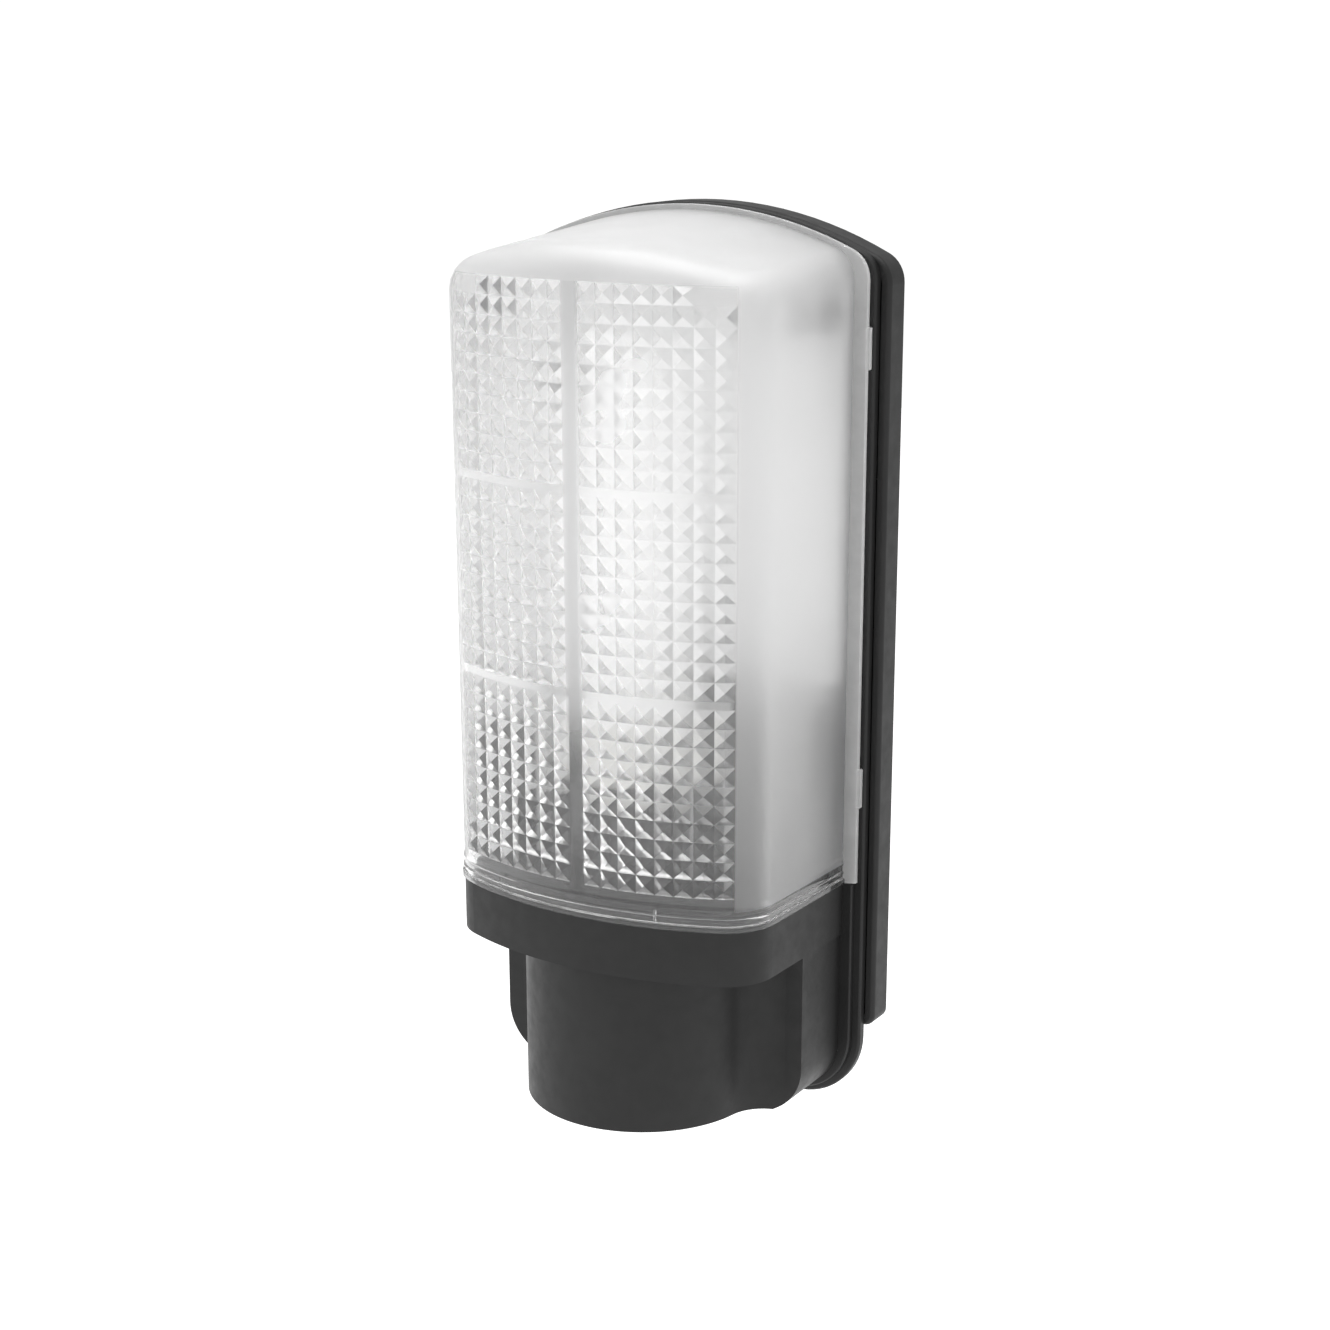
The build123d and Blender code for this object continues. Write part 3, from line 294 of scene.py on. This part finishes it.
# Material of each slot of the frame
slot_materials = {
    "black_plastic": surface(
        "black_plastic", dark=grey(0.011), light=grey(0.015), rough=(0.44, 0.54),
        patch=35, grain=2600, grain_h=0.00003, grain_k=0.35, specular=0.32),
    "phenolic": surface(
        "holder_phenolic", dark=grey(0.012), light=grey(0.02), rough=(0.25, 0.36),
        patch=80, grain=2200),
    "black_rubber": surface(
        "black_rubber", dark=grey(0.014), light=grey(0.022), rough=(0.7, 0.85),
        patch=90, grain=1500, grain_k=0.5),
    "white_paint": surface(
        "white_paint", dark=grey(0.86), light=grey(0.92), rough=(0.32, 0.42),
        patch=50, grain=1200, grain_k=0.2),
    "nickel": surface(
        "cap_nickel", dark=(0.62, 0.61, 0.58), light=(0.72, 0.71, 0.69), rough=(0.22, 0.34),
        metallic=1.0, patch=120, grain=900, stretch=(1, 1, 12)),
    "brass": surface(
        "brass", dark=(0.62, 0.46, 0.2), light=(0.74, 0.56, 0.27), rough=(0.25, 0.4),
        metallic=1.0, patch=200, grain=1500),
    "zinc_steel": surface(
        "zinc_steel", dark=(0.5, 0.51, 0.52), light=(0.66, 0.67, 0.68), rough=(0.3, 0.45),
        metallic=1.0, patch=220, grain=1800),
    "white_plastic": surface(
        "white_plastic", dark=(0.78, 0.78, 0.76), light=(0.84, 0.84, 0.82), rough=(0.35, 0.45),
        patch=90, grain=2200, sss=0.05),
    "board_green": surface(
        "board_green", dark=(0.02, 0.12, 0.05), light=(0.035, 0.17, 0.075), rough=(0.3, 0.42),
        patch=300, grain=3500, coat=0.3),
    "relay_case": surface(
        "relay_case", dark=(0.03, 0.1, 0.3), light=(0.04, 0.13, 0.36), rough=(0.3, 0.42),
        patch=200, grain=3000),
    "capacitor_case": surface(
        "capacitor_case", dark=(0.42, 0.2, 0.03), light=(0.5, 0.25, 0.05), rough=(0.3, 0.42),
        patch=200, grain=3000),
    "can_sleeve": surface(
        "can_sleeve", dark=(0.03, 0.03, 0.05), light=(0.05, 0.05, 0.08), rough=(0.3, 0.4),
        patch=200, grain=3000),
    "sensor_body": surface(
        "sensor_body", dark=(0.32, 0.06, 0.04), light=(0.42, 0.09, 0.06), rough=(0.2, 0.32),
        patch=300, grain=2500, coat=0.4),
    "smoked_clear": surface(
        "smoked_window", dark=(0.03, 0.028, 0.026), light=(0.045, 0.042, 0.04),
        rough=(0.08, 0.16), patch=100, grain=2500, grain_k=0.05, coat=0.6),
    "natural_polyamide": surface(
        "natural_polyamide", dark=(0.62, 0.6, 0.54), light=(0.72, 0.7, 0.64),
        rough=(0.35, 0.48), patch=120, grain=2200, sss=0.1),
    "brown_insulation": surface(
        "brown_insulation", dark=(0.11, 0.045, 0.02), light=(0.15, 0.06, 0.03),
        rough=(0.35, 0.45), patch=200, grain=2500),
    "blue_insulation": surface(
        "blue_insulation", dark=(0.02, 0.09, 0.32), light=(0.03, 0.12, 0.4),
        rough=(0.35, 0.45), patch=200, grain=2500),
    "opal": glow("opal_lit", strength=0.2),
}

# Material slots of the cover
PRISMS, FROSTED, RIM, FLANGE, RIB = range(5)
# milk_low_painted_shade below darkens the lower part of each cover as painted shade
cover_materials = [
    cover_material("cover_prisms", rough=(0.22, 0.28), milk=0.16, scatter=0.3,
                   milk_low_painted_shade=0.25, rough_low=0.3, left=0.72),
    cover_material("cover_frosted", rough=(0.3, 0.42), milk=0.4, through=grey(0.85),
                   grain=0.3, scatter=0.3, milk_low_painted_shade=0.5),
    cover_material("cover_rim", rough=(0.05, 0.09), milk=0.02, tint=0.86),
    cover_material("cover_flange", rough=(0.12, 0.2), milk=0.55),
    cover_material("cover_rib", rough=(0.44, 0.52), milk=0.2, tint=0.8, scatter=0.3,
                   milk_low_painted_shade=0.1, white=0.82, rough_low=0.26),
]
slot_materials["diffuser_clear"] = cover_materials[RIM]

slot_of = {part["node"]: part["material_slot"] for part in frame["record"]["subparts"]}
for name, ob in nodes.items():
    ob.data.materials.clear()
    ob.data.materials.append(slot_materials[slot_of[name]])
    for poly in ob.data.polygons:
        poly.material_index = 0


# ---------------------------------------------------------------------------
# Plan, roof and section of the cover
# ---------------------------------------------------------------------------
def corner_round():
    """Centre of the corner round, tangent to bow and side; the side's direction and normal."""
    y_front = BOW_Y - math.sqrt(BOW**2 - HALF_FRONT**2)
    length = math.hypot(HALF_BACK - HALF_FRONT, BACK - y_front)
    dx, dy = (HALF_BACK - HALF_FRONT) / length, (BACK - y_front) / length
    nx, ny = dy, -dx
    # a line inside the side by one corner radius, met by a circle inside the bow
    x, y = HALF_FRONT - CORNER * nx, y_front - CORNER * ny
    from_bow = y - BOW_Y
    along = x * dx + from_bow * dy
    excess = x * x + from_bow * from_bow - (BOW - CORNER) ** 2
    t = -along - math.sqrt(along * along - excess)
    return (x + t * dx, y + t * dy), (dx, dy), (nx, ny)


(CORNER_X, CORNER_Y), SIDE_DIR, SIDE_NORMAL = corner_round()
BOW_END_ANGLE = math.atan2(CORNER_X, BOW_Y - CORNER_Y)
SIDE_ANGLE = math.atan2(SIDE_NORMAL[0], -SIDE_NORMAL[1])
BOW_END = BOW * BOW_END_ANGLE
CORNER_END = BOW_END + CORNER * (SIDE_ANGLE - BOW_END_ANGLE)


def plan_point(s, back):
    """Plan position and outward normal at arc length s from the middle of the front.

    Past the corner, s runs 0..1 along the side to y = back.
    """
    if s <= BOW_END:
        angle, radius, cx, cy = s / BOW, BOW, 0.0, BOW_Y
    elif s <= CORNER_END:
        angle = BOW_END_ANGLE + (s - BOW_END) / CORNER
        radius, cx, cy = CORNER, CORNER_X, CORNER_Y
    else:
        x0, y0 = CORNER_X + CORNER * SIDE_NORMAL[0], CORNER_Y + CORNER * SIDE_NORMAL[1]
        y = y0 + (back - y0) * min(s - CORNER_END, 1.0)
        x = x0 + (y - y0) * SIDE_DIR[0] / SIDE_DIR[1]
        return x, y, *SIDE_NORMAL
    nx, ny = math.sin(angle), -math.cos(angle)
    return cx + radius * nx, cy + radius * ny, nx, ny


def length_at(x):
    """Arc length of the plan at half width x."""
    if x <= BOW * math.sin(BOW_END_ANGLE):
        return BOW * math.asin(x / BOW)
    return BOW_END + CORNER * (math.asin((x - CORNER_X) / CORNER) - BOW_END_ANGLE)


def roof(x, y):
    height = PEAK - ARCH + math.sqrt(ARCH**2 - x * x)
    return height / math.cos(SLOPE) - (ROOF_Y - y) * math.tan(SLOPE)


def roof_slope(x, y):
    return -x / math.sqrt(ARCH**2 - x * x) / math.cos(SLOPE), math.tan(SLOPE)


# Stations along the plan: rib and prisms at an even pitch in X, then corner and side
half_plan = [0.0, length_at(RIB_HALF)]
for k in range(COLUMNS):
    half_plan.append(length_at(RIB_HALF + PITCH * (k + 0.5)))
    half_plan.append(length_at(RIB_HALF + PITCH * (k + 1)))
RIB_END, PRISMS_END = half_plan[1], half_plan[-1]
for k in range(1, CORNER_STEPS + 1):
    half_plan.append(PRISMS_END + (CORNER_END - PRISMS_END) * k / CORNER_STEPS)
for k in range(1, SIDE_STEPS + 1):
    half_plan.append(CORNER_END + k / SIDE_STEPS)
STATIONS = [-s for s in half_plan[:0:-1]] + half_plan
COUNT = len(STATIONS)
MIDDLE = len(half_plan) - 1

# Heights along the wall: the rim, then three panels of prism rows
ROWS = [BOTTOM + height for height, proud in RIM_PROFILE]
z = PRISM_BOTTOM
for panel in range(PANELS):
    for row in range(PANEL_ROWS):
        ROWS += [z, z + PITCH / 2]
        z += PITCH
    ROWS.append(z)
    z += PANEL_GAP
TOP = ROWS[-1]
RIM_ROWS = len(RIM_PROFILE)
OUTER_PROUD = [proud for height, proud in RIM_PROFILE] + [0.0] * (len(ROWS) - RIM_ROWS)
INNER_PROUD = [0.0] * len(ROWS)


def section(i, back):
    """Outer face of wall and edge round at station i.

    Returns a function of the height, or length along the round, that gives position and
    normal; and the length at which the roof starts.
    """
    x, y, nx, ny = plan_point(abs(STATIONS[i]), back)
    if STATIONS[i] < 0:
        x, nx = -x, -nx
    slope_x, slope_y = roof_slope(x, y)
    fall = -(slope_x * nx + slope_y * ny)
    round_z = roof(x, y) + fall * EDGE - EDGE * math.sqrt(1 + fall * fall)
    sweep = math.pi / 2 - math.atan(fall)

    def at(length):
        if length <= round_z:
            return (x, y, length), (nx, ny, 0.0)
        a = min((length - round_z) / EDGE, sweep)
        t = EDGE * (1 - math.cos(a))
        return (
            (x - nx * t, y - ny * t, round_z + EDGE * math.sin(a)),
            (nx * math.cos(a), ny * math.cos(a), math.sin(a)),
        )

    return at, round_z + EDGE * sweep


# ---------------------------------------------------------------------------
# Mesh of the cover
# ---------------------------------------------------------------------------
verts, faces, face_materials, face_flat = [], [], [], []


def vert(point):
    verts.append(tuple(v * MM for v in point))
    return len(verts) - 1


def face(loop, material, flat=False, flip=False):
    faces.append(tuple(reversed(loop)) if flip else tuple(loop))
    face_materials.append(material)
    face_flat.append(flat)


def offset(point, normal, depth):
    return tuple(p - n * depth for p, n in zip(point, normal))


def shell(back, inset, proud):
    """Vertices of one face of the cover: grid[station][row], roof rings and roof hub."""
    grid, roof_edge = [], []
    for i in range(COUNT):
        at, end = section(i, back)
        roof_edge.append(at(end)[0])
        column = [vert(offset(*at(z), inset - out)) for z, out in zip(ROWS, proud)]
        for j in range(1, EDGE_STEPS + 1):
            column.append(vert(offset(*at(TOP + (end - TOP) * j / EDGE_STEPS), inset)))
        grid.append(column)

    def roof_vert(x, y):
        slope_x, slope_y = roof_slope(x, y)
        normal = Vector((-slope_x, -slope_y, 1)).normalized()
        return vert(offset((x, y, roof(x, y)), normal, inset))

    # the rings shrink towards the middle of the rear edge
    hub = roof_vert(0, back)
    rings = []
    for r in range(1, ROOF_RINGS):
        f = r / ROOF_RINGS
        rings.append([roof_vert(x * (1 - f), y + (back - y) * f) for x, y, z in roof_edge])
    return grid, rings, hub


def wall_material(i, j):
    near, far = sorted((abs(STATIONS[i]), abs(STATIONS[i + 1])))
    if j >= len(ROWS) - 1:
        return FROSTED
    if ROWS[j] < CLEAR_TOP:
        return RIM
    if near >= PRISMS_END:
        return FROSTED
    return RIB if far <= RIB_END else PRISMS


def is_prism(i, j):
    """True where a prism's lower left corner is at station i, row j."""
    if not RIM_ROWS <= j < len(ROWS):
        return False
    # stations from the middle to the prism's nearer edge
    near = i - MIDDLE if i > MIDDLE else MIDDLE - i - 2
    columns = TOP_COLUMNS if j == len(ROWS) - 3 else COLUMNS
    row = (j - RIM_ROWS) % (2 * PANEL_ROWS + 1)
    return near in range(1, 2 * columns, 2) and row in range(0, 2 * PANEL_ROWS, 2)


def add_prism(grid, i, j):
    """Hollow pyramid over two stations by two rows, sunk in the inner face."""
    at, end = section(i + 1, BACK)
    apex = vert(offset(*at(ROWS[j] + PITCH / 2), WALL - PRISM_DEPTH))
    around = ((0, 0), (1, 0), (2, 0), (2, 1), (2, 2), (1, 2), (0, 2), (0, 1))
    loop = [grid[i + di][j + dj] for di, dj in around]
    for k in range(8):
        face((loop[k], loop[(k + 1) % 8], apex), PRISMS, flat=True, flip=True)


def add_wall(grid, inner):
    done = set()
    for i in range(COUNT - 1):
        for j in range(len(ROWS) - 1 + EDGE_STEPS):
            if (i, j) in done:
                continue
            if inner and is_prism(i, j):
                add_prism(grid, i, j)
                done.update((i + di, j + dj) for di in (0, 1) for dj in (0, 1))
                continue
            loop = (grid[i][j], grid[i + 1][j], grid[i + 1][j + 1], grid[i][j + 1])
            face(loop, wall_material(i, j), flip=inner)


def add_roof(grid, rings, hub, flip):
    levels = [[column[-1] for column in grid]] + rings
    for a, b in zip(levels[:-1], levels[1:]):
        for i in range(COUNT - 1):
            face((a[i], a[i + 1], b[i + 1], b[i]), FROSTED, flip=flip)
    for i in range(COUNT - 1):
        face((rings[-1][i], rings[-1][i + 1], hub), FROSTED, flip=flip)


def rear_loop(grid, rings, hub):
    """Rear edge of a shell: up the left side, over the roof and down the right side."""
    left = grid[0] + [ring[0] for ring in rings]
    right = grid[-1] + [ring[-1] for ring in rings]
    return left + [hub] + right[::-1]


def flange_point(k, count, inset):
    """X and Z of point k of the flange's outline, which matches the rear loop."""
    half, peak = FLANGE_HALF - inset, FLANGE_PEAK - inset
    radius = SHOULDER - inset
    on_right = k > (count - 1) / 2
    if on_right:
        k = count - 1 - k
    cx = half - radius
    cz = peak - ARCH + math.sqrt((ARCH - radius) ** 2 - cx**2)
    tip = math.atan2(cx, cz - (peak - ARCH))
    side = len(ROWS) + EDGE_STEPS
    wall_rows = len(ROWS) - 4       # rows below the shoulder
    if k < wall_rows:
        row_z = BOTTOM + FLANGE_FOOT[k] if k < len(FLANGE_FOOT) else ROWS[k]
        x, z = half, min(row_z, cz)
    elif k < side:
        # even steps along the rest of the upright and the shoulder round
        last_z = min(ROWS[wall_rows - 1], cz)
        upright = cz - last_z
        arc = radius * (math.pi / 2 - tip)
        along = (k - wall_rows + 1) / (side - wall_rows) * (upright + arc)
        if along <= upright:
            x, z = half, last_z + along
        else:
            a = math.pi / 2 - (along - upright) / radius
            x, z = cx + radius * math.sin(a), cz + radius * math.cos(a)
    else:
        a = tip * (1 - (k - side + 1) / ROOF_RINGS)
        x, z = ARCH * math.sin(a), peak - ARCH + ARCH * math.cos(a)
    return (x if on_right else -x), z


def add_flange(front_loop, back_loop):
    """Join the outer shell's rear edge to the inner one's, round the flange."""
    count = len(front_loop)
    chain = [front_loop]
    for y, inset in FLANGE_PROFILE:
        outline = [flange_point(k, count, inset) for k in range(count)]
        chain.append([vert((x, y, z)) for x, z in outline])
    chain.append(back_loop)
    for a, b in zip(chain[:-1], chain[1:]):
        for k in range(count - 1):
            face((a[k], a[k + 1], b[k + 1], b[k]), FLANGE)
    # the two lower ends
    face([loop[0] for loop in chain], FLANGE)
    face([loop[-1] for loop in chain], FLANGE, flip=True)


def add_block(x_ends, y_ends, z_ends, material):
    """A closed box."""
    c = [vert((x, y, z)) for x in sorted(x_ends) for y in y_ends for z in z_ends]
    for loop in ((0, 1, 3, 2), (4, 6, 7, 5), (0, 4, 5, 1), (2, 3, 7, 6), (0, 2, 6, 4),
                 (1, 5, 7, 3)):
        face([c[k] for k in loop], material, flat=True)


def add_lugs():
    for side in (-1, 1):
        for height in LUG_HEIGHTS:
            z_ends = (height - LUG_LENGTH / 2, height + LUG_LENGTH / 2)
            add_block([side * x for x in LUG_X], LUG_Y, z_ends, FLANGE)
            add_block([side * x for x in TAB_X], TAB_Y, z_ends, FLANGE)


def add_marks():
    for mark in MARKS_X:
        x, y = plan_point(length_at(abs(mark)), FLANGE_FRONT)[:2]
        x = math.copysign(x, mark)
        add_block((x - MARK_HALF, x + MARK_HALF), [y + dy for dy in MARK_Y], MARK_Z, RIM)


def clean(mesh):
    """Drop unused vertices, such as those under the prisms, and sharpen the hard edges."""
    bm = bmesh.new()
    bm.from_mesh(mesh)
    bmesh.ops.remove_doubles(bm, verts=bm.verts, dist=1e-6)
    loose = [v for v in bm.verts if not v.link_faces]
    bmesh.ops.delete(bm, geom=loose, context="VERTS")
    bmesh.ops.recalc_face_normals(bm, faces=bm.faces)
    for e in bm.edges:
        if len(e.link_faces) == 2 and e.calc_face_angle(0) > math.radians(32):
            e.smooth = False
    bm.to_mesh(mesh)
    bm.free()


def build_cover():
    outer = shell(FLANGE_FRONT, 0.0, OUTER_PROUD)
    inner = shell(BACK, WALL, INNER_PROUD)
    outer_grid, inner_grid = outer[0], inner[0]
    add_wall(outer_grid, inner=False)
    add_wall(inner_grid, inner=True)
    add_roof(*outer, flip=False)
    add_roof(*inner, flip=True)
    # foot of the wall
    for i in range(COUNT - 1):
        face((outer_grid[i][0], inner_grid[i][0], inner_grid[i + 1][0], outer_grid[i + 1][0]),
             RIM)
    add_flange(rear_loop(*outer), rear_loop(*inner))
    add_lugs()
    add_marks()

    mesh = bpy.data.meshes.new("cover_prismatic")
    mesh.from_pydata(verts, [], faces)
    mesh.validate()
    cover = bpy.data.objects.new("cover_prismatic", mesh)
    scene.collection.objects.link(cover)
    for material in cover_materials:
        mesh.materials.append(material)
    for poly, material, flat in zip(mesh.polygons, face_materials, face_flat):
        poly.material_index = material
        poly.use_smooth = not flat
    clean(mesh)
    return cover


cover = build_cover()
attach(cover, "diffuser")
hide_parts("diffuser")


# ---------------------------------------------------------------------------
# Camera, world, lights and floor, in metres
# ---------------------------------------------------------------------------
def add_camera(location, azimuth, elevation, roll, lens, shift):
    """Camera in front and to the right; angles in degrees, azimuth from -Y towards +X."""
    data = bpy.data.cameras.new("camera")
    cam = bpy.data.objects.new("camera", data)
    scene.collection.objects.link(cam)
    az, el, roll = math.radians(azimuth), math.radians(elevation), math.radians(roll)
    back = Vector((math.sin(az) * math.cos(el), -math.cos(az) * math.cos(el), math.sin(el)))
    right = (-back).cross(Vector((0, 0, 1))).normalized()
    up = right.cross(-back)
    rolled_right = right * math.cos(roll) + up * math.sin(roll)
    rolled_up = -right * math.sin(roll) + up * math.cos(roll)
    rotation = Matrix((rolled_right, rolled_up, back)).transposed()
    cam.matrix_world = Matrix.Translation(location) @ rotation.to_4x4()
    data.sensor_width = 36
    data.lens = lens
    data.shift_x, data.shift_y = shift
    data.clip_start = 0.01
    scene.camera = cam


def add_world():
    """White to the camera; a softer light, dimmer from below, to everything else."""
    w = Nodes(bpy.data.worlds.new("studio"), "ShaderNodeOutputWorld")
    fade = w.ramp(w.axis("Z", "Generated"), low=0.55, high=1.0, start=-1.0, end=1.0)
    seen = w.add("ShaderNodeBackground", {"Color": (1, 1, 1, 1), "Strength": 1.05})
    light = w.add("ShaderNodeBackground", {"Color": fade, "Strength": 0.75})
    is_camera = w.add("ShaderNodeLightPath").outputs["Is Camera Ray"]
    scene.world = w.finish(
        w.mix(is_camera, light.outputs["Background"], seen.outputs["Background"]))


def softbox(name, location, size, power, target=(0, -0.03, 0)):
    data = bpy.data.lights.new(name, "AREA")
    data.shape = "RECTANGLE"
    data.size, data.size_y = size
    data.energy = power
    ob = bpy.data.objects.new(name, data)
    scene.collection.objects.link(ob)
    ob.location = location
    aim = Vector(target) - Vector(location)
    ob.rotation_euler = aim.to_track_quat("-Z", "Y").to_euler()


def floor_material():
    """Pale and faintly glowing."""
    m = Nodes(bpy.data.materials.new("floor_pale"))
    pale = m.colour(m.noise(3.0), dark=grey(0.93), light=grey(0.96))
    diffuse = m.add("ShaderNodeBsdfDiffuse", {"Color": pale})
    emission = m.add("ShaderNodeEmission", {"Strength": 0.62})
    both = m.add("ShaderNodeAddShader",
                 {0: diffuse.outputs["BSDF"], 1: emission.outputs["Emission"]})
    return m.finish(both.outputs["Shader"])


def add_floor(half_size, height):
    mesh = bpy.data.meshes.new("floor")
    bm = bmesh.new()
    bmesh.ops.create_grid(bm, x_segments=8, y_segments=8, size=half_size)
    bm.to_mesh(mesh)
    bm.free()
    floor = bpy.data.objects.new("floor", mesh)
    scene.collection.objects.link(floor)
    floor.location = (0, 0, height)
    mesh.materials.append(floor_material())


add_camera(location=(0.32393, -0.55971, 0.14854), azimuth=31.203, elevation=16.579,
           roll=-0.1356, lens=64.971717293, shift=(-0.000744360902, 0.07181954887))
add_world()
softbox("softbox_top", location=(0.05, -0.15, 0.85), size=(0.9, 0.7), power=5.4)
softbox("softbox_left", location=(-0.75, -0.55, 0.25), size=(0.5, 0.8), power=0.15)
softbox("softbox_right", location=(0.95, -0.15, 0.2), size=(0.4, 0.8), power=0.25)
add_floor(half_size=3.0, height=-0.42)

scene.view_settings.view_transform = "Standard"
scene.view_settings.look = "None"
scene.view_settings.exposure = 0.0
scene.view_settings.gamma = 1.0
scene.cycles.use_denoising = True
scene.cycles.max_bounces = 24
scene.cycles.diffuse_bounces = 5
scene.cycles.glossy_bounces = 6
scene.cycles.transmission_bounces = 20
scene.cycles.transparent_max_bounces = 24
